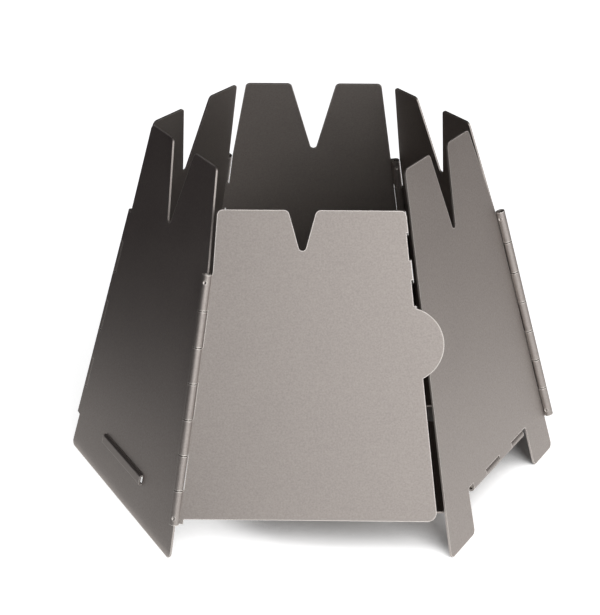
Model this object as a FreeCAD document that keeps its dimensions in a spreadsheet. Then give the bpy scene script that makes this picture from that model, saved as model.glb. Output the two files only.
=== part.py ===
import FreeCAD, Part
import os
import Sketcher

# Folding six-sided wood stove in sheet titanium.
# Six leaning walls are joined by five rolled hinges. The sixth corner stays open: the door meets the
# front right wall there. The floor plate hangs on a hinge of the front right wall.
# The frame stands on the ground at the stove's middle, +Z up, with the door towards -Y.

doc = FreeCAD.newDocument("folding_wood_stove")

# Driving dimensions in millimetres and degrees.
SIZES = {
    # Six-sided body, measured on the outer faces of the walls
    "base_apothem": 64.2,
    "lean": 13.75,
    "wall_length": 105.0,
    "sheet": 0.5,
    # Rolled hinges
    "pin_diameter": 1.5,
    "pin_play": 0.05,
    "pin_inset": 0.6,
    "pin_end_round": 0.3,
    "edge_clearance": 0.3,
    "seam_gap": 0.2,
    "strip_overlap": 1.0,
    "knuckle_pitch": 9.8,
    "knuckle_gap": 0.3,
    "hinge_start": 10.75,
    "knuckle_count": 7,
    "stake_radius": 0.7,
    "stake_depth": 0.25,
    "stake_inset": 2.2,
    "stake_turn": 10.0,
    "front_right_stake_turn": -85.0,
    # Rounded corners of the sheets
    "horn_round": 1.5,
    "notch_round": 1.0,
    "foot_round": 1.6,
    # Upper outline of each wall
    "front_left_horn_left": 21.2,
    "front_left_horn_right": 19.1,
    "front_left_notch_left": 7.4,
    "front_left_notch_right": 6.2,
    "front_left_notch_middle": -0.6,
    "front_left_notch_foot": 80.5,
    "back_left_horn_left": 21.1,
    "back_left_horn_right": 21.0,
    "back_left_notch_left": 6.8,
    "back_left_notch_right": 6.8,
    "back_left_notch_middle": 0.0,
    "back_left_notch_foot": 79.8,
    "back_horn_left": 20.4,
    "back_horn_right": 20.4,
    "back_notch_left": 6.8,
    "back_notch_right": 6.8,
    "back_notch_middle": 0.0,
    "back_notch_foot": 79.1,
    "back_right_horn_left": 19.6,
    "back_right_horn_right": 18.6,
    "back_right_notch_left": 6.8,
    "back_right_notch_right": 6.8,
    "back_right_notch_middle": 0.0,
    "back_right_notch_foot": 79.6,
    "front_right_horn_left": 20.2,
    "front_right_horn_right": 17.5,
    "front_right_notch_left": 6.2,
    "front_right_notch_right": 4.4,
    "front_right_notch_middle": 0.1,
    "front_right_notch_foot": 78.4,
    # Front right wall: its free edge and the cut-out between its two legs
    "free_foot": 34.3,
    "leg_left_inner": 19.3,
    "leg_right_inner": 22.7,
    "cutout_left_top": 18.4,
    "cutout_right_top": 21.2,
    "cutout_round": 1.2,
    # Front left wall: the lanced lip that stiffens it
    "lip_left": 13.6,
    "lip_right": 12.9,
    "lip_middle_height": 12.0,
    "lip_bend": 0.15,
    "lip_reach": 0.35,
    "lip_flat": 1.8,
    "window_bottom": 10.6,
    # Door
    "door_bottom": 11.96,
    "door_top": 95.25,
    "door_horn_left": 24.0,
    "door_horn_right": 24.2,
    "door_foot_right": 34.2,
    "door_notch_left": 5.9,
    "door_notch_right": 1.35,
    "door_notch_middle": -2.2,
    "door_notch_foot": 81.9,
    "door_foot_round": 2.5,
    "door_recess_depth": 0.5,
    "low_recess_bottom": 70.5,
    "low_recess_top": 77.3,
    "high_recess_bottom": 82.4,
    "high_recess_top": 89.6,
    "tab_across": 24.7,
    "tab_height": 60.1,
    "tab_radius": 10.1,
    # Floor plate and its hinge, side distances from the stove's axis
    "floor_axis_height": 12.0,
    "floor_hinge_left": 15.4,
    "floor_knuckle_pitch": 8.7,
    "floor_knuckle_count": 4,
    "floor_side_back_right": 56.5,
    "floor_side_back": 56.5,
    "floor_side_back_left": 56.5,
    "floor_side_front_left": 39.5,
    "floor_side_door": 54.6,
    "floor_corner_cut": 6.4,
    "floor_door_corner_cut": 9.0,
    "vent_diameter_inner": 5.0,
    "vent_diameter_outer": 10.0,
    "vent_ring_inner": 16.0,
    "vent_ring_outer": 36.6,
    "vent_count_inner": 6,
    "vent_count_outer": 6,
}
dims = doc.addObject("Spreadsheet::Sheet", "dims")
for row, (alias, value) in enumerate(SIZES.items(), start=1):
    dims.set("A%d" % row, alias)
    dims.set("B%d" % row, str(value))
    dims.setAlias("B%d" % row, alias)
doc.recompute()

# Plan angle between neighbouring walls.
SECTOR = 60
HALF_SECTOR = SECTOR // 2

# Expressions worked out from the driving dimensions.
BORE = "(dims.pin_diameter / 2 + dims.pin_play)"
BARREL = "(%s + dims.sheet)" % BORE
CUT_BACK = "sqrt((%s + dims.edge_clearance)^2 - %s^2)" % (BARREL, BORE)
CORNER_HALF = "(dims.base_apothem * tan(%d))" % HALF_SECTOR
EDGE_ANGLE = "atan(sin(dims.lean) * tan(%d))" % HALF_SECTOR
CORNER_LEAN = "atan(tan(dims.lean) / cos(%d))" % HALF_SECTOR
HALF_TURN = "(acos(cos(dims.lean)^2 * cos(%d) + sin(dims.lean)^2) / 2)" % SECTOR
HINGE_END = "(dims.hinge_start + dims.knuckle_pitch * dims.knuckle_count)"
HINGE_TOP = "(%s + dims.edge_clearance)" % HINGE_END
FOOT_SHIFT = {
    "out": "(%s * tan(%s))" % (BORE, HALF_TURN),
    "in": "(-1 * %s * tan(%s))" % (BARREL, HALF_TURN),
}
# The walls lean, so the inner edge of each foot is the lowest. This lift sets it on the ground.
GROUND_LIFT = "(dims.sheet * sin(dims.lean))"
RIGHT, LEFT = 1, -1
UPRIGHT_TOLERANCE = 1e-5
SPOT_TOLERANCE = 1e-3
WALL_ANGLES = {
    "door": -90,
    "front_right": -30,
    "back_right": 30,
    "back": 90,
    "back_left": 150,
    "front_left": 210,
}


def number(expression):
    """Value of an expression of the sheet as a plain number."""
    value = dims.evalExpression(str(expression))
    return float(getattr(value, "Value", value))


def origin_part(body, role):
    """Plane or axis of the body's own origin."""
    for feature in body.Origin.OriginFeatures:
        if feature.Role == role:
            return feature
    raise RuntimeError("no origin part " + role)


def new_sketch(body, name, at=("0", "0", "0"), yaw="0", roll="0"):
    """Sketch on the body's XY plane, moved to a point and turned about Z, then about its own X."""
    sketch = body.newObject("Sketcher::SketchObject", name)
    sketch.AttachmentSupport = [(origin_part(body, "XY_Plane"), "")]
    sketch.MapMode = "FlatFace"
    offset = "placement(vector(%s; %s; %s); rotation(%s; 0; %s))" % (*at, yaw, roll)
    sketch.setExpression("AttachmentOffset", offset)
    return sketch


def fix_point(sketch, curve, end, x_expression=None, y_expression=None):
    """Ties the end of a curve to the sketch's origin by bound distances."""
    for kind, axis, expression in (("DistanceX", -2, x_expression), ("DistanceY", -1, y_expression)):
        if expression is None:
            continue
        if expression == "0":
            sketch.addConstraint(Sketcher.Constraint("PointOnObject", curve, end, axis))
            continue
        index = sketch.addConstraint(Sketcher.Constraint(kind, -1, 1, curve, end, number(expression)))
        sketch.setExpression("Constraints[%d]" % index, expression)


def add_line(sketch, start, stop):
    return sketch.addGeometry(Part.LineSegment(FreeCAD.Vector(*start, 0), FreeCAD.Vector(*stop, 0)), False)


def join(sketch, first, first_end, second, second_end):
    sketch.addConstraint(Sketcher.Constraint("Coincident", first, first_end, second, second_end))


def draw_polygon(sketch, points):
    """Closed outline through points, each a pair of expressions."""
    places = [(number(x), number(y)) for x, y in points]
    lines = []
    for index, place in enumerate(places):
        lines.append(add_line(sketch, place, places[(index + 1) % len(places)]))
    for index, line in enumerate(lines):
        join(sketch, line, 2, lines[(index + 1) % len(lines)], 1)
    for line, (x_expression, y_expression) in zip(lines, points):
        fix_point(sketch, line, 1, x_expression, y_expression)


def draw_circle(sketch, x, y, radius):
    circle = Part.Circle(FreeCAD.Vector(number(x), number(y), 0), FreeCAD.Vector(0, 0, 1), number(radius))
    curve = sketch.addGeometry(circle, False)
    fix_point(sketch, curve, 3, x, y)
    index = sketch.addConstraint(Sketcher.Constraint("Radius", curve, number(radius)))
    sketch.setExpression("Constraints[%d]" % index, radius)


def draw_arc(sketch, centre, start, stop):
    """Arc about a centre, anticlockwise from one point to the direction of another."""
    middle = FreeCAD.Vector(*centre, 0)
    first = FreeCAD.Vector(*start, 0) - middle
    last = FreeCAD.Vector(*stop, 0) - middle
    x_axis = FreeCAD.Vector(1, 0, 0)
    up = FreeCAD.Vector(0, 0, 1)
    first_angle = first.getAngle(x_axis) * (1 if first.y >= 0 else -1)
    last_angle = last.getAngle(x_axis) * (1 if last.y >= 0 else -1)
    circle = Part.Circle(middle, up, first.Length)
    return sketch.addGeometry(Part.ArcOfCircle(circle, first_angle, last_angle), False)


def add_pad(body, name, sketch, length, symmetric=False, downwards=False):
    pad = body.newObject("PartDesign::Pad", name)
    pad.Profile = sketch
    pad.setExpression("Length", length)
    if symmetric:
        pad.SideType = "Symmetric"
    pad.Reversed = downwards
    doc.recompute()
    return pad


def edges_at(base, spots):
    """Names of the sheet's upright edges that stand at the given spots."""
    wanted = [FreeCAD.Vector(number(x), number(y), 0) for x, y in spots]
    names = []
    for index, edge in enumerate(base.Shape.Edges, start=1):
        first, last = edge.Vertexes[0].Point, edge.Vertexes[-1].Point
        if FreeCAD.Vector(first.x - last.x, first.y - last.y, 0).Length > UPRIGHT_TOLERANCE:
            continue
        flat = FreeCAD.Vector(first.x, first.y, 0)
        if any((flat - spot).Length < SPOT_TOLERANCE for spot in wanted):
            names.append("Edge%d" % index)
    if len(names) != len(wanted):
        raise RuntimeError("found %d of %d corners of %s" % (len(names), len(wanted), base.Label))
    return names


def round_corners(body, name, spots, radius):
    base = body.Tip
    fillet = body.newObject("PartDesign::Fillet", name)
    fillet.Base = (base, edges_at(base, spots))
    fillet.setExpression("Radius", radius)
    doc.recompute()


def cut_corners(body, name, spots, size):
    base = body.Tip
    chamfer = body.newObject("PartDesign::Chamfer", name)
    chamfer.Base = (base, edges_at(base, spots))
    chamfer.setExpression("Size", size)
    doc.recompute()


def new_body(name):
    body = doc.addObject("PartDesign::Body", name)
    body.Label = name
    return body


def stand_wall(body, wall):
    """Leans a wall whose outer face was drawn on XY, with the ground line on X and Y up the wall."""
    angle = WALL_ANGLES[wall]
    plan = (angle, angle, GROUND_LIFT)
    base = "vector(dims.base_apothem * cos(%d); dims.base_apothem * sin(%d); %s)" % plan
    body.setExpression("Placement", "placement(%s; rotation(%d; 0; 90 - dims.lean))" % (base, angle + 90))


def side_u(side, kind, height):
    """Across-position of a wall's side edge, cut back so that the other wall's barrels pass it."""
    inset = "(%s - %s)" % (CUT_BACK, FOOT_SHIFT[kind])
    place = "%s - %s / cos(%s) - %s * tan(%s)" % (CORNER_HALF, inset, EDGE_ANGLE, height, EDGE_ANGLE)
    return "%d * (%s)" % (side, place)


def edge_point(side, kind, along, beyond="0", above="0"):
    """Point beside a side hinge's foot line: along the corner, beyond the foot, above the sheet's face."""
    shift = "(%s + %s)" % (FOOT_SHIFT[kind], beyond)
    across = "%s - %s * sin(%s) + %s * cos(%s)" % (CORNER_HALF, along, EDGE_ANGLE, shift, EDGE_ANGLE)
    height = "%s * cos(%s) + %s * sin(%s)" % (along, EDGE_ANGLE, shift, EDGE_ANGLE)
    depth = above if kind == "out" else "-1 * dims.sheet - (%s)" % above
    return "%d * (%s)" % (side, across), height, depth


def draw_knuckle(sketch):
    """Section of a rolled knuckle: a strip of the sheet that ends in an open roll round the pin."""
    bore, barrel = number(BORE), number(BARREL)
    sheet, seam = number("dims.sheet"), number("dims.seam_gap")
    reach_expression = "-1 * (%s + dims.strip_overlap)" % CUT_BACK
    reach = number(reach_expression)
    centre = (0.0, bore)
    inner_end = (-(bore**2 - (bore - seam) ** 2) ** 0.5, seam)
    outer_end = (-(barrel**2 - (bore - seam) ** 2) ** 0.5, seam)
    face = add_line(sketch, (reach, 0), (0, 0))
    inner = draw_arc(sketch, centre, (0, 0), inner_end)
    tip = add_line(sketch, inner_end, outer_end)
    outer = draw_arc(sketch, centre, (0, -sheet), outer_end)
    back = add_line(sketch, (0, -sheet), (reach, -sheet))
    root = add_line(sketch, (reach, -sheet), (reach, 0))
    join(sketch, face, 2, inner, 1)
    join(sketch, inner, 2, tip, 1)
    join(sketch, tip, 2, outer, 2)
    join(sketch, outer, 1, back, 1)
    join(sketch, back, 2, root, 1)
    join(sketch, root, 2, face, 1)
    join(sketch, inner, 3, outer, 3)
    join(sketch, face, 2, -1, 1)
    fix_point(sketch, inner, 3, "0", BORE)
    fix_point(sketch, outer, 1, "0", "-1 * dims.sheet")
    sketch.addConstraint(Sketcher.Constraint("Horizontal", face))
    sketch.addConstraint(Sketcher.Constraint("Horizontal", back))
    sketch.addConstraint(Sketcher.Constraint("Vertical", root))
    fix_point(sketch, face, 1, reach_expression, None)
    sketch.addConstraint(Sketcher.Constraint("Horizontal", tip))
    fix_point(sketch, tip, 1, None, "dims.seam_gap")


def add_knuckles(body, name, at, yaw, roll, pitch, count):
    """Row of equal knuckles, every second place of a hinge."""
    sketch = new_sketch(body, name + "_section", at, yaw, roll)
    draw_knuckle(sketch)
    pad = add_pad(body, name, sketch, "%s - dims.knuckle_gap" % pitch, symmetric=True)
    row = body.newObject("PartDesign::LinearPattern", name + "_row")
    row.Originals = [pad]
    row.Direction = (sketch, ["N_Axis"])
    row.setExpression("Length", "2 * %s * (%s - 1)" % (pitch, count))
    row.setExpression("Occurrences", count)
    body.Tip = row
    doc.recompute()


def add_side_hinge(body, side, kind, ends, turn="dims.stake_turn"):
    """Rolled knuckles on one side of a wall. The wall that has the end knuckles is staked to the pin."""
    first = "0.5" if ends else "1.5"
    spare = 1 if ends else -1
    count = "(dims.knuckle_count + %d) / 2" % spare
    from_start = "(dims.hinge_start + %s * dims.knuckle_pitch)" % first
    from_end = "(%s - %s * dims.knuckle_pitch)" % (HINGE_END, first)
    runs_up = (side == LEFT) == (kind == "out")
    at = edge_point(side, kind, from_start if runs_up else from_end)
    yaw = EDGE_ANGLE if side == RIGHT else "180 deg - %s" % EDGE_ANGLE
    roll = "90" if kind == "out" else "-90"
    side_name = "right" if side == RIGHT else "left"
    add_knuckles(body, "%s_%s_knuckle" % (body.Name, side_name), at, yaw, roll, "dims.knuckle_pitch", count)
    if not ends:
        return
    reach = "(%s + dims.stake_radius - dims.stake_depth)" % BARREL
    beyond = "%s * sin(%s)" % (reach, turn)
    above = "%s + %s * cos(%s)" % (BORE, reach, turn)
    low = "(dims.hinge_start + dims.stake_inset)"
    high = "(%s - dims.stake_inset)" % HINGE_END
    for place_name, along in (("low", low), ("high", high)):
        stake = body.newObject("PartDesign::SubtractiveSphere", "%s_%s_stake" % (body.Name, place_name))
        stake.AttachmentSupport = [(origin_part(body, "XY_Plane"), "")]
        stake.MapMode = "FlatFace"
        point = edge_point(side, kind, along, beyond, above)
        stake.setExpression("AttachmentOffset", "placement(vector(%s; %s; %s); rotation(0; 0; 0))" % point)
        stake.setExpression("Radius", "dims.stake_radius")
        doc.recompute()


def upper_outline(wall):
    """Top edge of a wall from right to left: two horns with a notch between them."""
    size = "dims." + wall + "_"
    top = "dims.wall_length"
    return [
        (size + "horn_right", top),
        (size + "notch_right", top),
        (size + "notch_middle", size + "notch_foot"),
        ("-1 * " + size + "notch_left", top),
        ("-1 * " + size + "horn_left", top),
    ]


def round_upper(body, points):
    round_corners(body, body.Name + "_horns", [points[0], points[1], points[3], points[4]], "dims.horn_round")
    round_corners(body, body.Name + "_notch", [points[2]], "dims.notch_round")


def add_blank(body, points):
    sketch = new_sketch(body, body.Name + "_outline")
    draw_polygon(sketch, points)
    add_pad(body, body.Name + "_blank", sketch, "dims.sheet", downwards=True)


def make_closed_wall(wall, left_kind, right_kind, left_ends, right_ends):
    """Wall with a hinge on both sides and one straight foot edge on the ground."""
    body = new_body(wall + "_panel")
    top = upper_outline(wall)
    feet = [(side_u(LEFT, left_kind, "0"), "0"), (side_u(RIGHT, right_kind, "0"), "0")]
    right_shoulder = (side_u(RIGHT, right_kind, HINGE_TOP), HINGE_TOP)
    left_shoulder = (side_u(LEFT, left_kind, HINGE_TOP), HINGE_TOP)
    add_blank(body, feet + [right_shoulder] + top + [left_shoulder])
    round_upper(body, top)
    round_corners(body, body.Name + "_feet", feet, "dims.foot_round")
    add_side_hinge(body, LEFT, left_kind, left_ends)
    add_side_hinge(body, RIGHT, right_kind, right_ends)
    stand_wall(body, wall)
    return body


def draw_lip(section):
    """Section of the lip: out from the wall, round a bend, down a flat and round a bend back to the wall."""
    inside, reach = number("dims.lip_bend"), number("dims.lip_reach")
    sheet, half = number("dims.sheet"), number("dims.lip_flat / 2")
    radius = inside + sheet
    face, back = reach + radius, reach + inside
    high, low = -half - radius, half + radius
    high_inner, low_inner = -half - inside, half + inside
    root_outer = add_line(section, (high, -sheet), (high, reach))
    top_outer = draw_arc(section, (-half, reach), (-half, face), (high, reach))
    flat_outer = add_line(section, (-half, face), (half, face))
    end_outer = draw_arc(section, (half, reach), (low, reach), (half, face))
    tip = add_line(section, (low, reach), (low_inner, reach))
    end_inner = draw_arc(section, (half, reach), (low_inner, reach), (half, back))
    flat_inner = add_line(section, (half, back), (-half, back))
    top_inner = draw_arc(section, (-half, reach), (-half, back), (high_inner, reach))
    root_inner = add_line(section, (high_inner, reach), (high_inner, -sheet))
    root = add_line(section, (high_inner, -sheet), (high, -sheet))
    join(section, root_outer, 2, top_outer, 2)
    join(section, top_outer, 1, flat_outer, 1)
    join(section, flat_outer, 2, end_outer, 2)
    join(section, end_outer, 1, tip, 1)
    join(section, tip, 2, end_inner, 1)
    join(section, end_inner, 2, flat_inner, 1)
    join(section, flat_inner, 2, top_inner, 1)
    join(section, top_inner, 2, root_inner, 1)
    join(section, root_inner, 2, root, 1)
    join(section, root, 2, root_outer, 1)
    join(section, top_inner, 3, top_outer, 3)
    join(section, end_inner, 3, end_outer, 3)
    half_flat = "dims.lip_flat / 2"
    above = "-1 * dims.lip_flat / 2"
    fix_point(section, top_outer, 3, above, "dims.lip_reach")
    fix_point(section, top_outer, 1, above, "dims.lip_reach + dims.lip_bend + dims.sheet")
    fix_point(section, top_outer, 2, None, "dims.lip_reach")
    fix_point(section, top_inner, 1, above, "dims.lip_reach + dims.lip_bend")
    fix_point(section, top_inner, 2, None, "dims.lip_reach")
    fix_point(section, end_outer, 3, half_flat, "dims.lip_reach")
    fix_point(section, end_outer, 1, half_flat + " + dims.lip_bend + dims.sheet", "dims.lip_reach")
    fix_point(section, end_outer, 2, half_flat, None)
    fix_point(section, end_inner, 1, half_flat + " + dims.lip_bend", "dims.lip_reach")
    fix_point(section, end_inner, 2, half_flat, None)
    for upright in (root_outer, root_inner):
        section.addConstraint(Sketcher.Constraint("Vertical", upright))
    section.addConstraint(Sketcher.Constraint("Horizontal", root))
    fix_point(section, root, 2, None, "-1 * dims.sheet")


def add_lip(body):
    """Lanced window near the foot of the wall, whose upper edge is bent out and folded down as a hem."""
    window_top = "dims.lip_middle_height + dims.lip_flat / 2 + dims.lip_bend"
    window = new_sketch(body, "lip_window")
    draw_polygon(
        window,
        [
            ("-1 * dims.lip_left", "dims.window_bottom"),
            ("dims.lip_right", "dims.window_bottom"),
            ("dims.lip_right", window_top),
            ("-1 * dims.lip_left", window_top),
        ],
    )
    before = body.Tip.Shape.Volume
    cut = body.newObject("PartDesign::Pocket", "lip_opening")
    cut.Profile = window
    cut.Type = "ThroughAll"
    cut.SideType = "Symmetric"
    doc.recompute()
    if cut.Shape.Volume >= before:
        raise RuntimeError("the lip's window cuts nothing")
    middle = "(dims.lip_right - dims.lip_left) / 2"
    section = new_sketch(body, "lip_section", (middle, "dims.lip_middle_height", "0"), "-90", "90")
    draw_lip(section)
    add_pad(body, "lip", section, "dims.lip_left + dims.lip_right", symmetric=True)


def make_front_right():
    """Wall with two legs. It carries the floor hinge, and its left edge stays free beside the door."""
    wall = "front_right"
    body = new_body(wall + "_panel")
    top = upper_outline(wall)
    cut_top = "dims.floor_axis_height + %s" % CUT_BACK
    feet = [
        ("-1 * dims.free_foot", "0"),
        ("-1 * dims.leg_left_inner", "0"),
        ("dims.leg_right_inner", "0"),
        (side_u(RIGHT, "out", "0"), "0"),
    ]
    cutout = [("-1 * dims.cutout_left_top", cut_top), ("dims.cutout_right_top", cut_top)]
    shoulder = (side_u(RIGHT, "out", HINGE_TOP), HINGE_TOP)
    add_blank(body, feet[:2] + cutout + feet[2:] + [shoulder] + top)
    round_upper(body, top)
    round_corners(body, body.Name + "_feet", feet, "dims.foot_round")
    round_corners(body, body.Name + "_cutout", cutout, "dims.cutout_round")
    add_side_hinge(body, RIGHT, "out", True, "dims.front_right_stake_turn")
    first = "-1 * dims.floor_hinge_left + dims.floor_knuckle_pitch / 2"
    at = (first, "dims.floor_axis_height", "-1 * dims.sheet")
    count = "dims.floor_knuckle_count / 2"
    add_knuckles(body, "floor_knuckle", at, "-90", "-90", "dims.floor_knuckle_pitch", count)
    stand_wall(body, wall)
    return body


def door_edge(height):
    """Across-position of the door's straight free edge."""
    rise = "(%s - dims.door_bottom) / (dims.door_top - dims.door_bottom)" % height
    return "dims.door_foot_right + (dims.door_horn_right - dims.door_foot_right) * %s" % rise


def make_door():
    """Shorter wall that swings: hinge on its left, disc tab and two shallow recesses on its free edge."""
    body = new_body("door_panel")
    recesses = []
    for name in ("low", "high"):
        bottom = "dims.%s_recess_bottom" % name
        top = "dims.%s_recess_top" % name
        recesses.append((door_edge(bottom), bottom))
        recesses.append((door_edge(bottom) + " - dims.door_recess_depth", bottom))
        recesses.append((door_edge(top) + " - dims.door_recess_depth", top))
        recesses.append((door_edge(top), top))
    crown = [
        ("dims.door_horn_right", "dims.door_top"),
        ("dims.door_notch_right", "dims.door_top"),
        ("dims.door_notch_middle", "dims.door_notch_foot"),
        ("-1 * dims.door_notch_left", "dims.door_top"),
        ("-1 * dims.door_horn_left", "dims.door_top"),
    ]
    left_foot = (side_u(LEFT, "out", "dims.door_bottom"), "dims.door_bottom")
    right_foot = ("dims.door_foot_right", "dims.door_bottom")
    shoulder = (side_u(LEFT, "out", HINGE_TOP), HINGE_TOP)
    add_blank(body, [left_foot, right_foot] + recesses + crown + [shoulder])
    round_upper(body, crown)
    round_corners(body, "door_foot", [right_foot], "dims.door_foot_round")
    tab = new_sketch(body, "tab_outline")
    draw_circle(tab, "dims.tab_across", "dims.tab_height", "dims.tab_radius")
    add_pad(body, "tab", tab, "dims.sheet", downwards=True)
    add_side_hinge(body, LEFT, "out", True)
    stand_wall(body, "door")
    return body


# Floor hinge line, seen in the upright plane across the front right wall
FLOOR_AXIS_OUT = (
    "(dims.base_apothem - dims.floor_axis_height * sin(dims.lean) - (%s) * cos(dims.lean))" % BARREL
)
FLOOR_AXIS_UP = (
    "(%s + dims.floor_axis_height * cos(dims.lean) - (%s) * sin(dims.lean))" % (GROUND_LIFT, BARREL)
)


def floor_corner(angle, side, next_side):
    """Corner between a floor side whose normal has the given plan angle and the next side round."""
    along = "((%s - (%s) * cos(%d)) / sin(%d))" % (next_side, side, SECTOR, SECTOR)
    x = "(%s) * cos(%d) - %s * sin(%d)" % (side, angle, along, angle)
    y = "(%s) * sin(%d) + %s * cos(%d)" % (side, angle, along, angle)
    return x, y


def add_vents(body, name, ring, diameter, count):
    """Ring of round air holes through the floor, the first one towards a corner."""
    before = body.Tip.Shape.Volume
    sketch = new_sketch(body, name + "_circle")
    x, y = ("%s * %s(%d)" % (ring, share, HALF_SECTOR) for share in ("sin", "cos"))
    draw_circle(sketch, x, y, diameter + " / 2")
    hole = body.newObject("PartDesign::Pocket", name + "_hole")
    hole.Profile = sketch
    hole.Type = "ThroughAll"
    hole.SideType = "Symmetric"
    doc.recompute()
    if hole.Shape.Volume >= before:
        raise RuntimeError("the vents cut nothing")
    circle = body.newObject("PartDesign::PolarPattern", name + "_ring")
    circle.Originals = [hole]
    circle.Axis = (origin_part(body, "Z_Axis"), [""])
    circle.setExpression("Occurrences", count)
    body.Tip = circle
    doc.recompute()


def make_floor():
    """Level plate with air holes, hinged along the front right wall and cut back towards the front left."""
    body = new_body("floor_plate")
    hinge_side = "(%s - %s)" % (FLOOR_AXIS_OUT, CUT_BACK)
    sides = [
        (-90, hinge_side),
        (-30, "dims.floor_side_back_right"),
        (30, "dims.floor_side_back"),
        (90, "dims.floor_side_back_left"),
        (150, "dims.floor_side_front_left"),
        (210, "dims.floor_side_door"),
    ]
    corners = []
    for index, (angle, side) in enumerate(sides):
        next_side = sides[(index + 1) % len(sides)][1]
        corners.append(floor_corner(angle, side, next_side))
    add_blank(body, corners)
    cut_corners(body, "floor_corners", corners[:4], "dims.floor_corner_cut")
    cut_corners(body, "floor_door_corner", corners[4:5], "dims.floor_door_corner_cut")
    for place in ("inner", "outer"):
        ring, diameter, count = ("dims.vent_%s_%s" % (size, place) for size in ("ring", "diameter", "count"))
        add_vents(body, place + "_vent", ring, diameter, count)
    first = "-1 * dims.floor_hinge_left + dims.floor_knuckle_pitch * (dims.floor_knuckle_count - 0.5)"
    at = (first, "-1 * %s" % FLOOR_AXIS_OUT, "0")
    count = "dims.floor_knuckle_count / 2"
    add_knuckles(body, "plate_knuckle", at, "-90", "90", "dims.floor_knuckle_pitch", count)
    level = "%s - %s" % (FLOOR_AXIS_UP, BORE)
    turn = WALL_ANGLES["front_right"] + 90
    body.setExpression("Placement", "placement(vector(0; 0; %s); rotation(%d; 0; 0))" % (level, turn))
    return body


def make_pin(name, length):
    """Plain wire pin with rounded ends, drawn upright."""
    body = new_body(name)
    sketch = new_sketch(body, name + "_section")
    draw_circle(sketch, "0", "0", "dims.pin_diameter / 2")
    pad = add_pad(body, name + "_wire", sketch, length)
    rims = []
    for index, edge in enumerate(pad.Shape.Edges, start=1):
        if edge.isClosed():
            rims.append("Edge%d" % index)
    fillet = body.newObject("PartDesign::Fillet", name + "_ends")
    fillet.Base = (pad, rims)
    fillet.setExpression("Radius", "dims.pin_end_round")
    doc.recompute()
    return body


def make_corner_pin(name, corner_angle, kind):
    """Pin of a side hinge, on the corner at the given plan angle."""
    length = "dims.knuckle_pitch * dims.knuckle_count - dims.knuckle_gap - 2 * dims.pin_inset"
    body = make_pin(name, length)
    stand_off = {"out": BORE, "in": "(-1 * %s)" % BARREL}[kind]
    beside = "(%s / cos(%s))" % (stand_off, HALF_TURN)
    start = "(dims.hinge_start + dims.knuckle_gap / 2 + dims.pin_inset)"
    corner = "dims.base_apothem / cos(%d)" % HALF_SECTOR
    out = "(%s - %s * sin(%s) + %s * cos(%s))" % (corner, start, CORNER_LEAN, beside, CORNER_LEAN)
    up = "%s + %s * cos(%s) + %s * sin(%s)" % (GROUND_LIFT, start, CORNER_LEAN, beside, CORNER_LEAN)
    base = "vector(%s * cos(%d); %s * sin(%d); %s)" % (out, corner_angle, out, corner_angle, up)
    turn = "rotation(%d; -1 * %s; 0)" % (corner_angle, CORNER_LEAN)
    body.setExpression("Placement", "placement(%s; %s)" % (base, turn))
    return body


def make_floor_pin():
    length = "dims.floor_knuckle_pitch * dims.floor_knuckle_count - dims.knuckle_gap - 2 * dims.pin_inset"
    body = make_pin("floor_hinge_pin", length)
    angle = WALL_ANGLES["front_right"]
    start = "(dims.pin_inset + dims.knuckle_gap / 2 - dims.floor_hinge_left)"
    x = "%s * cos(%d) - %s * sin(%d)" % (FLOOR_AXIS_OUT, angle, start, angle)
    y = "%s * sin(%d) + %s * cos(%d)" % (FLOOR_AXIS_OUT, angle, start, angle)
    base = "vector(%s; %s; %s)" % (x, y, FLOOR_AXIS_UP)
    body.setExpression("Placement", "placement(%s; rotation(%d; 90; 0))" % (base, angle + 90))
    return body


front_left = make_closed_wall("front_left", "in", "out", True, False)
add_lip(front_left)
pieces = [
    front_left,
    make_closed_wall("back_left", "out", "in", True, False),
    make_closed_wall("back", "in", "out", True, False),
    make_closed_wall("back_right", "out", "in", False, False),
    make_front_right(),
    make_door(),
    make_floor(),
    make_corner_pin("door_hinge_pin", 240, "out"),
    make_corner_pin("left_hinge_pin", 180, "in"),
    make_corner_pin("back_left_hinge_pin", 120, "out"),
    make_corner_pin("back_right_hinge_pin", 60, "in"),
    make_corner_pin("right_hinge_pin", 0, "out"),
    make_floor_pin(),
]
doc.recompute()

for item in doc.Objects:
    if "Invalid" in item.State or "Error" in item.State:
        raise RuntimeError("failed: " + item.Label)
for piece in pieces:
    if piece.Shape.isNull() or not piece.Shape.isValid() or len(piece.Shape.Solids) != 1:
        raise RuntimeError("bad shape: " + piece.Label)

os.makedirs("parts", exist_ok=True)
for piece in pieces:
    piece.Shape.exportStep("parts/%s.step" % piece.Label)
    print("%-24s %9.2f mm3" % (piece.Label, piece.Shape.Volume))
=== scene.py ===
# %% [markdown]
# This is a folding wood stove for backpacking: six tapered walls of titanium sheet that hinge together
# on wire pins round a vented floor plate. Its shapes, pins and joints come ready from the CAD frame, so
# this lesson is about finish and light. The frame is loaded first and never moved.

# %% Load the stove
from math import cos, radians, sin

import bpy
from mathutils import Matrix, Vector


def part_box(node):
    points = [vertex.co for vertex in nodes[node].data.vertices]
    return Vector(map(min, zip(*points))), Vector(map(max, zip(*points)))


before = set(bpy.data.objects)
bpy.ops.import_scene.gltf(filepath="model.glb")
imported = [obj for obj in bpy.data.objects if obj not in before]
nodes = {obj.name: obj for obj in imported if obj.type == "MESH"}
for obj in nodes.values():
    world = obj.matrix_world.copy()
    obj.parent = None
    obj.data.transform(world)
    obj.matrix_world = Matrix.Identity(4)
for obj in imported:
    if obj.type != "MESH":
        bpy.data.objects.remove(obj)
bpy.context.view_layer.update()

MM = 0.001
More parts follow.
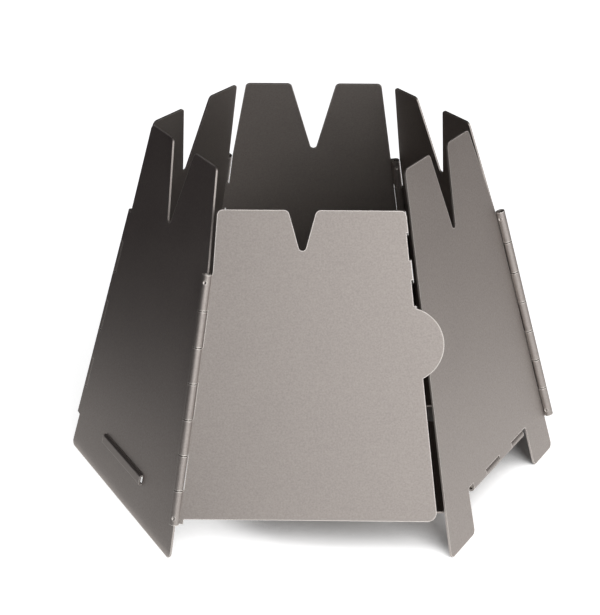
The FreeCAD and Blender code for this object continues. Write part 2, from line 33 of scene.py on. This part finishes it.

# %% [markdown]
# A colour given here is an sRGB hex value, but a shader works in linear light. One function makes the
# change, so every colour below can be written the way a designer writes it.


# %% Colours from sRGB hex
def linear(hex_colour):
    """Linear red, green, blue and alpha of an sRGB hex colour."""
    channels = [int(hex_colour[i:i + 2], 16) / 255 for i in (1, 3, 5)]
    return [c / 12.92 if c <= 0.04045 else ((c + 0.055) / 1.055) ** 2.4 for c in channels] + [1.0]


print("mid grey in linear light", [round(c, 3) for c in linear("#808080")])

# %% [markdown]
# A material is a small graph of nodes. Writing each node out takes four or five lines, so one helper adds
# any node with its settings, its socket values and its links, and the graphs below stay short enough to read.


# %% Helpers that add a node and start a material
def add_node(tree, kind, settings=None, values=None, links=None):
    """New shader node with its settings, the values of its sockets and the outputs that feed them."""
    node = tree.nodes.new("ShaderNode" + kind)
    for name, setting in (settings or {}).items():
        setattr(node, name, setting)
    for socket, value in (values or {}).items():
        node.inputs[socket].default_value = value
    for socket, output in (links or {}).items():
        tree.links.new(output, node.inputs[socket])
    return node


def new_material(name):
    """Empty node material and its tree."""
    material = bpy.data.materials.new(name)
    material.use_nodes = True
    material.node_tree.nodes.clear()
    return material, material.node_tree


print("helpers ready, materials so far:", len(bpy.data.materials))

# %% [markdown]
# The walls are commercially pure titanium sheet, half a millimetre thick, blasted with fine glass beads.
# Blasting leaves thousands of shallow pits, so the sheet shows no mirror image, only a broad satin sheen in
# a warm grey, with a fine grain and faint clouds where the nozzle passed twice. The grit could be a
# displacement, but pits of a few hundredths of a millimetre never show in outline, so a bump and a slight
# change of tone and roughness are enough. Real pits are finer than a pixel here, so they are drawn coarser
# than they are.

# %% Grain of a blasted face
PIT = 0.45 * MM
PIT_DETAIL = 2.0
PIT_CRISPNESS = 0.6
CLOUD = 14 * MM
CLOUD_DETAIL = 3.0
CLOUD_SHARE = 0.15
GRAIN_RANGE = (0.3, 0.7)
BLASTED_DARK = "#9B9490"
BLASTED_LIGHT = "#ABA49F"
BLASTED_ROUGHNESS = (0.52, 0.60)


def blasted_face(tree, at):
    """Colour, roughness and pit height of a bead blasted face at the given coordinates."""
    pits = add_node(tree, "TexNoise",
                    values={"Scale": 1 / PIT, "Detail": PIT_DETAIL, "Roughness": PIT_CRISPNESS},
                    links={"Vector": at})
    clouds = add_node(tree, "TexNoise", values={"Scale": 1 / CLOUD, "Detail": CLOUD_DETAIL},
                      links={"Vector": at})
    tone = add_node(tree, "Mix", {"data_type": "FLOAT"}, {"Factor": CLOUD_SHARE},
                    {"A": pits.outputs["Fac"], "B": clouds.outputs["Fac"]})
    tone = add_node(tree, "MapRange", values={"From Min": GRAIN_RANGE[0], "From Max": GRAIN_RANGE[1]},
                    links={"Value": tone.outputs["Result"]})
    colour = add_node(tree, "Mix", {"data_type": "RGBA"},
                      {"A": linear(BLASTED_DARK), "B": linear(BLASTED_LIGHT)},
                      {"Factor": tone.outputs["Result"]})
    satin = add_node(tree, "MapRange",
                     values={"To Min": BLASTED_ROUGHNESS[0], "To Max": BLASTED_ROUGHNESS[1]},
                     links={"Value": clouds.outputs["Fac"]})
    return colour.outputs["Result"], satin.outputs["Result"], pits.outputs["Fac"]


print("pits drawn", round(PIT / MM, 2), "mm apart, clouds", round(CLOUD / MM), "mm")

# %% [markdown]
# Handling polishes the cut edges of a sheet first, so a used edge is a little lighter and smoother than the
# faces. The lighter colour is also a painted highlight: it stands in for the thin line of light that a cut
# edge catches. The edge could be a separate strip of mesh, but a face and an edge differ in one thing only:
# an edge looks along the sheet. So the angle between the surface and the sheet's own normal finds the edges,
# and the depth within the sheet leaves out the rolled hinges and the lip, which turn the same way but stand
# off the sheet. Both are measured in the piece's rest coordinates, so the edges go with the piece as it
# folds.

# %% Worn edges of a sheet, with a painted highlight
SHEET = 0.5 * MM
EDGE_TURN = 0.5
EDGE_MARGIN = 0.06 * MM


def worn_and_highlit_edge(tree, place, normal, face):
    """1 on the cut edges of a sheet whose outer face lies at the distance face along its normal."""
    facing = add_node(tree, "VectorMath", {"operation": "DOT_PRODUCT"}, {1: normal},
                      {0: place.outputs["Normal"]})
    facing = add_node(tree, "Math", {"operation": "ABSOLUTE"}, links={0: facing.outputs["Value"]})
    sideways = add_node(tree, "Math", {"operation": "LESS_THAN"}, {1: EDGE_TURN},
                        {0: facing.outputs["Value"]})
    depth = add_node(tree, "VectorMath", {"operation": "DOT_PRODUCT"}, {1: normal},
                     {0: place.outputs["Object"]})
    in_sheet = add_node(tree, "Math", {"operation": "COMPARE"},
                        {1: face - SHEET / 2, 2: SHEET / 2 + EDGE_MARGIN}, {0: depth.outputs["Value"]})
    both = add_node(tree, "Math", {"operation": "MULTIPLY"},
                    links={0: sideways.outputs["Value"], 1: in_sheet.outputs["Value"]})
    return both.outputs["Value"]


print("edges are turned more than", EDGE_TURN, "from the face, in a sheet of", SHEET / MM, "mm")

# %% [markdown]
# The corner where a face meets a cut edge is never quite sharp. Blasting and handling round it, and a rounded
# corner catches the light as a thin bright line. Fillets in the mesh could do it, but a rim of this kind is
# only one or two pixels wide here, so the shader paints that line into the colour: a painted highlight,
# lighter than titanium is. A bevel node gives the normal that a rounded corner would have, and the rim is
# where that normal is less and less like the face's own; that normal only marks the rim and does not shade
# it.

# %% Painted highlight along the rims of a sheet
RIM_WIDTH = 0.45 * MM
RIM_SAMPLES = 6
RIM_LIKENESS = (0.995, 0.94)


def painted_rim_highlight(tree):
    """1 along the corners of a sheet, falling to 0 within the width of the rim."""
    rounded = add_node(tree, "Bevel", {"samples": RIM_SAMPLES}, {"Radius": RIM_WIDTH})
    surface = add_node(tree, "NewGeometry")
    likeness = add_node(tree, "VectorMath", {"operation": "DOT_PRODUCT"},
                        links={0: rounded.outputs["Normal"], 1: surface.outputs["Normal"]})
    rim = add_node(tree, "MapRange", values={"From Min": RIM_LIKENESS[0], "From Max": RIM_LIKENESS[1]},
                   links={"Value": likeness.outputs["Value"]})
    return rim.outputs["Result"]


print("rims up to", round(RIM_WIDTH / MM, 2), "mm wide")

# %% [markdown]
# The finish is one metal shader: metallic 1 and the default index of refraction, with the grain in its
# colour and roughness. Two bumps shape its normal. One is the pits. The other is the slow wave of a few
# hundredths of a millimetre that a thin sheet keeps from rolling and blasting, which bends the sheen
# a little across each wall.

# %% Blasted titanium sheet
WAVE = 38 * MM
WAVE_DETAIL = 1.0
WAVE_DEPTH = 0.02 * MM
PIT_DEPTH = 0.01 * MM
# Colour of the painted highlight along the rims, lighter than titanium
RIM_HIGHLIGHT = "#E4DFDA"
# Colour of the cut edges: a little wear, and a painted highlight
WORN_EDGE_AND_HIGHLIGHT = "#B0A9A4"
WORN_ROUGHNESS = 0.48


def blasted_titanium(name, normal, face):
    """Blasted titanium sheet whose outer face lies at the distance face along its normal."""
    material, tree = new_material(name)
    place = add_node(tree, "TexCoord")
    at = place.outputs["Object"]
    colour, satin, pits = blasted_face(tree, at)
    # Painted highlight: the rims take a light colour in place of the line of light a rounded corner catches
    rim_highlit = add_node(tree, "Mix", {"data_type": "RGBA"}, {"B": linear(RIM_HIGHLIGHT)},
                      {"Factor": painted_rim_highlight(tree), "A": colour})
    edge = worn_and_highlit_edge(tree, place, normal, face)
    # The cut edges take a lighter colour, partly wear and partly painted highlight
    colour = add_node(tree, "Mix", {"data_type": "RGBA"}, {"B": linear(WORN_EDGE_AND_HIGHLIGHT)},
                      {"Factor": edge, "A": rim_highlit.outputs["Result"]})
    satin = add_node(tree, "Mix", {"data_type": "FLOAT"}, {"B": WORN_ROUGHNESS},
                     {"Factor": edge, "A": satin})
    waves = add_node(tree, "TexNoise", values={"Scale": 1 / WAVE, "Detail": WAVE_DETAIL},
                     links={"Vector": at})
    bent = add_node(tree, "Bump", values={"Distance": WAVE_DEPTH}, links={"Height": waves.outputs["Fac"]})
    pitted = add_node(tree, "Bump", values={"Distance": PIT_DEPTH},
                      links={"Height": pits, "Normal": bent.outputs["Normal"]})
    surface = add_node(tree, "BsdfPrincipled", values={"Metallic": 1.0},
                       links={"Base Color": colour.outputs["Result"], "Roughness": satin.outputs["Result"],
                              "Normal": pitted.outputs["Normal"]})
    add_node(tree, "OutputMaterial", links={"Surface": surface.outputs["BSDF"]})
    return material


print("waves", round(WAVE / MM), "mm long and", round(WAVE_DEPTH / MM, 3), "mm deep")

# %% [markdown]
# Each wall needs its own copy of that finish, because each has its own normal. The six walls stand round
# a hexagon and lean in by the same angle, so a wall's normal follows from its plan angle, and the place of
# its outer face from the hexagon's half width at the ground.

# %% Finish each wall
LEAN = radians(13.75)
BASE_APOTHEM = 64.2 * MM
GROUND_LIFT = SHEET * sin(LEAN)
WALL_FACE = BASE_APOTHEM * cos(LEAN) + GROUND_LIFT * sin(LEAN)
WALL_ANGLES = {
    "door_panel": -90,
    "front_right_panel": -30,
    "back_right_panel": 30,
    "back_panel": 90,
    "back_left_panel": 150,
    "front_left_panel": 210,
}
for node_name, plan_angle in WALL_ANGLES.items():
    turn = radians(plan_angle)
    normal = Vector((cos(turn) * cos(LEAN), sin(turn) * cos(LEAN), sin(LEAN)))
    finish = blasted_titanium("blasted_titanium_" + node_name, normal, WALL_FACE)
    nodes[node_name].material_slots[0].material = finish
print("finished", len(WALL_ANGLES), "walls, outer faces", round(WALL_FACE / MM, 2), "mm from the middle")

# %% [markdown]
# The floor plate is the same sheet, but it lies level. Its rolled hinge stands above the plate, so the box
# of the piece doesn't say where the plate's top is: the plate's height is written as the real size that
# it has.

# %% Finish the floor plate
PLATE_TOP = 10.67 * MM
UP = Vector((0, 0, 1))
finish = blasted_titanium("blasted_titanium_floor_plate", UP, PLATE_TOP)
nodes["floor_plate"].material_slots[0].material = finish
hinge_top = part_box("floor_plate")[1].z
print("plate top", round(PLATE_TOP / MM, 2), "mm; with its hinge", round(hinge_top / MM, 2), "mm")

# %% [markdown]
# The hinge pins are titanium wire, drawn through a die and cut. Drawing leaves a surface that is smoother
# and brighter than the blasted sheet, with fine die lines. Only the pins' ends show, inside the rolled
# hinges, where lines and grit can't be told apart, so one noise as fine as the die lines changes the tone
# and the gloss.

# %% Drawn titanium wire for the pins
DIE_LINE = 0.4 * MM
DIE_LINE_DETAIL = 2.0
WIRE_DARK = "#9C958E"
WIRE_LIGHT = "#BDB6AE"
WIRE_ROUGHNESS = (0.26, 0.38)
wire, tree = new_material("drawn_titanium_wire")
place = add_node(tree, "TexCoord")
lines = add_node(tree, "TexNoise", values={"Scale": 1 / DIE_LINE, "Detail": DIE_LINE_DETAIL},
                 links={"Vector": place.outputs["Object"]})
colour = add_node(tree, "Mix", {"data_type": "RGBA"}, {"A": linear(WIRE_DARK), "B": linear(WIRE_LIGHT)},
                  {"Factor": lines.outputs["Fac"]})
gloss = add_node(tree, "MapRange", values={"To Min": WIRE_ROUGHNESS[0], "To Max": WIRE_ROUGHNESS[1]},
                 links={"Value": lines.outputs["Fac"]})
surface = add_node(tree, "BsdfPrincipled", values={"Metallic": 1.0},
                   links={"Base Color": colour.outputs["Result"], "Roughness": gloss.outputs["Result"]})
add_node(tree, "OutputMaterial", links={"Surface": surface.outputs["BSDF"]})
pins = [name for name in nodes if name.endswith("_pin")]
for node_name in pins:
    nodes[node_name].material_slots[0].material = wire
print("finished", len(pins), "pins")

# %% [markdown]
# Metal has no colour of its own in the dark: it shows what stands round it. So the studio needs as much care
# as the finish. It is built from flat pieces that belong to the stage, not to the stove. Some of them glow,
# but only for the rays that show them: to the camera, in a reflection or through glass. The rays that carry
# light from one surface to another don't see the glow, so it lights nothing.


# %% Rays that show a surface, and flat pieces of the studio
def shown(tree):
    """1 for camera, glossy and transmission rays, and 0 for the rays that only carry light."""
    path = add_node(tree, "LightPath")
    seen = add_node(tree, "Math", {"operation": "MAXIMUM"},
                    links={0: path.outputs["Is Camera Ray"], 1: path.outputs["Is Glossy Ray"]})
    seen = add_node(tree, "Math", {"operation": "MAXIMUM"},
                    links={0: seen.outputs["Value"], 1: path.outputs["Is Transmission Ray"]})
    return seen.outputs["Value"]


def flat_piece(name, centre, across, up, material):
    """Rectangle of the studio from its centre and its two half sides."""
    centre, across, up = Vector(centre), Vector(across), Vector(up)
    corners = [centre - across - up, centre + across - up, centre + across + up, centre - across + up]
    mesh = bpy.data.meshes.new(name)
    mesh.from_pydata(corners, [], [(0, 1, 2, 3)])
    mesh.materials.append(material)
    piece = bpy.data.objects.new(name, mesh)
    bpy.context.scene.collection.objects.link(piece)
    return piece


print("studio helpers ready")

# %% [markdown]
# A pale paper floor comes first. A photographer lights such a floor until it turns white, but more light on
# it would also fall on the stove, so here the paper glows by itself. Under the stove there is no room for
# light to come in, so the glow fades where little open air is left above the paper. The stove's shadow from
# the lamp stays on the paper beside it.

# %% Pale paper floor
PAPER = "#E8E8E8"
GLOW = 0.72
SHUT_IN = 40 * MM
FADE = (0.15, 0.45)
FLOOR_HALF = 3
paper, tree = new_material("pale_paper")
matt = add_node(tree, "BsdfDiffuse", values={"Color": linear(PAPER)})
air = add_node(tree, "AmbientOcclusion", values={"Distance": SHUT_IN})
open_air = add_node(tree, "MapRange", values={"From Min": FADE[0], "From Max": FADE[1], "To Max": GLOW},
                    links={"Value": air.outputs["AO"]})
strength = add_node(tree, "Math", {"operation": "MULTIPLY"},
                    links={0: shown(tree), 1: open_air.outputs["Result"]})
glow = add_node(tree, "Emission", links={"Strength": strength.outputs["Value"]})
both = add_node(tree, "AddShader", links={0: matt.outputs["BSDF"], 1: glow.outputs["Emission"]})
add_node(tree, "OutputMaterial", links={"Surface": both.outputs["Shader"]})
flat_piece("studio_floor", (0, 0, 0), (FLOOR_HALF, 0, 0), (0, FLOOR_HALF, 0), paper)
print("floor", 2 * FLOOR_HALF, "m wide, glow", GLOW)

# %% [markdown]
# The background is plain white. The world is white for the rays that show it, and much darker for the rays
# that light the floor, so the backdrop can be pure white while the floor stays at a plain level.

# %% White world
AMBIENT = 0.35
world = bpy.data.worlds.new("white_studio")
bpy.context.scene.world = world
world.use_nodes = True
tree = world.node_tree
tree.nodes.clear()
level = add_node(tree, "MapRange", values={"To Min": AMBIENT, "To Max": 1.0}, links={"Value": shown(tree)})
sky = add_node(tree, "Background", values={"Color": linear("#FFFFFF")},
               links={"Strength": level.outputs["Result"]})
add_node(tree, "OutputWorld", links={"Surface": sky.outputs["Background"]})
print("world lights at", AMBIENT, "and shows at 1")

# %% [markdown]
# One large softbox stands in front, to the right and above. It lifts the door and gives the rolled hinges
# their bright line. A large lamp close by is soft: the stove's shadow has no hard rim.

# %% Softbox
KEY_AT = Vector((0.45, -0.9, 0.7))
KEY_AIM = Vector((0, 0, 0.05))
KEY_SIZE = 0.7
KEY_WATTS = 9
lamp = bpy.data.lights.new("softbox", "AREA")
lamp.size = KEY_SIZE
lamp.energy = KEY_WATTS
softbox = bpy.data.objects.new("softbox", lamp)
softbox.location = KEY_AT
softbox.rotation_euler = (KEY_AIM - KEY_AT).to_track_quat("-Z", "Y").to_euler()
bpy.context.scene.collection.objects.link(softbox)
print("softbox", round((KEY_AIM - KEY_AT).length, 2), "m away")

# %% [markdown]
# In a white room bright metal looks flat and pale. A photographer shapes it with cards, often called flags,
# which the metal mirrors as shade. A dark card on the left gives the front left wall its fall from grey at
# the foot to near black at the horns, and a grey one on the right takes the glare off the front right wall.
# A light grey card on the floor beside each of these walls tones down the white paper in its lower part.
# A black card overhead darkens the inside, a small dark one that hangs from its far edge shades the upward
# edges of the front left wall, and a dark one in front on the left shades the door's left half. Real cards
# would also throw shadows and get into the picture, so these are hidden from the camera and from the light,
# and only the metal sees them. Each is given by its centre, its two half sides in metres and its grey.

# %% Cards round the stove
CARD_LIFT = 0.8 * MM
left_turn = radians(WALL_ANGLES["front_left_panel"])
LEFT_OUT = Vector((cos(left_turn), sin(left_turn), 0))
LEFT_ALONG = Vector((sin(left_turn), -cos(left_turn), 0))
CARDS = {
    "left_card": ((-0.15, -0.25, 0.25), (0, 0.9, 0), (0, 0, 0.25), "#2A2428"),
    "right_card": ((0.38, 0.2, 0.29), (0.15, -0.38, 0), (0, 0, 0.25), "#7A7472"),
    "top_card": ((-0.05, 0.1, 0.35), (0.4, 0, 0), (0, 0.5, 0), "#0A0A0A"),
    "back_card": ((0, 0.6, 0.26), (0.2, 0, 0), (0, 0, 0.09), "#2A2428"),
    "front_card": ((-0.35, -1.0, 0.7), (0.45, 0, 0), (0, 0, 0.4), "#181818"),
    "left_floor_card": (LEFT_OUT * 0.1092 + UP * CARD_LIFT, LEFT_OUT * 0.044, LEFT_ALONG * 0.12, "#D4D4D4"),
    "right_floor_card": ((0.30, 0.09, CARD_LIFT), (0.107, 0.054, 0), (-0.11, 0.22, 0), "#C6C2C0"),
}
for card_name, (centre, across, up, grey) in CARDS.items():
    paint, tree = new_material(card_name + "_paint")
    shade = add_node(tree, "Emission", values={"Color": linear(grey)})
    add_node(tree, "OutputMaterial", links={"Surface": shade.outputs["Emission"]})
    card = flat_piece(card_name, centre, across, up, paint)
    card.visible_camera = False
    card.visible_diffuse = False
    card.visible_shadow = False
print("cards:", ", ".join(CARDS))

# %% [markdown]
# The camera stands where the photographer stood: in front of the door, a little under half a metre away,
# looking down on the stove. Its place and lens were solved from the corners of the walls in the picture.

# %% Camera
EYE = (0.002176, -0.398282, 0.232193)
EYE_TURN = [radians(angle) for angle in (64.914, -0.127, 0.864)]
LENS = 89.78
SENSOR = 36
optics = bpy.data.cameras.new("camera")
optics.sensor_fit = "HORIZONTAL"
optics.sensor_width = SENSOR
optics.lens = LENS
camera = bpy.data.objects.new("camera", optics)
camera.location = EYE
camera.rotation_euler = EYE_TURN
bpy.context.scene.collection.objects.link(camera)
bpy.context.scene.camera = camera
bpy.context.scene.view_settings.view_transform = "Standard"
print("camera", round(Vector(EYE).length, 3), "m from the stove's foot")
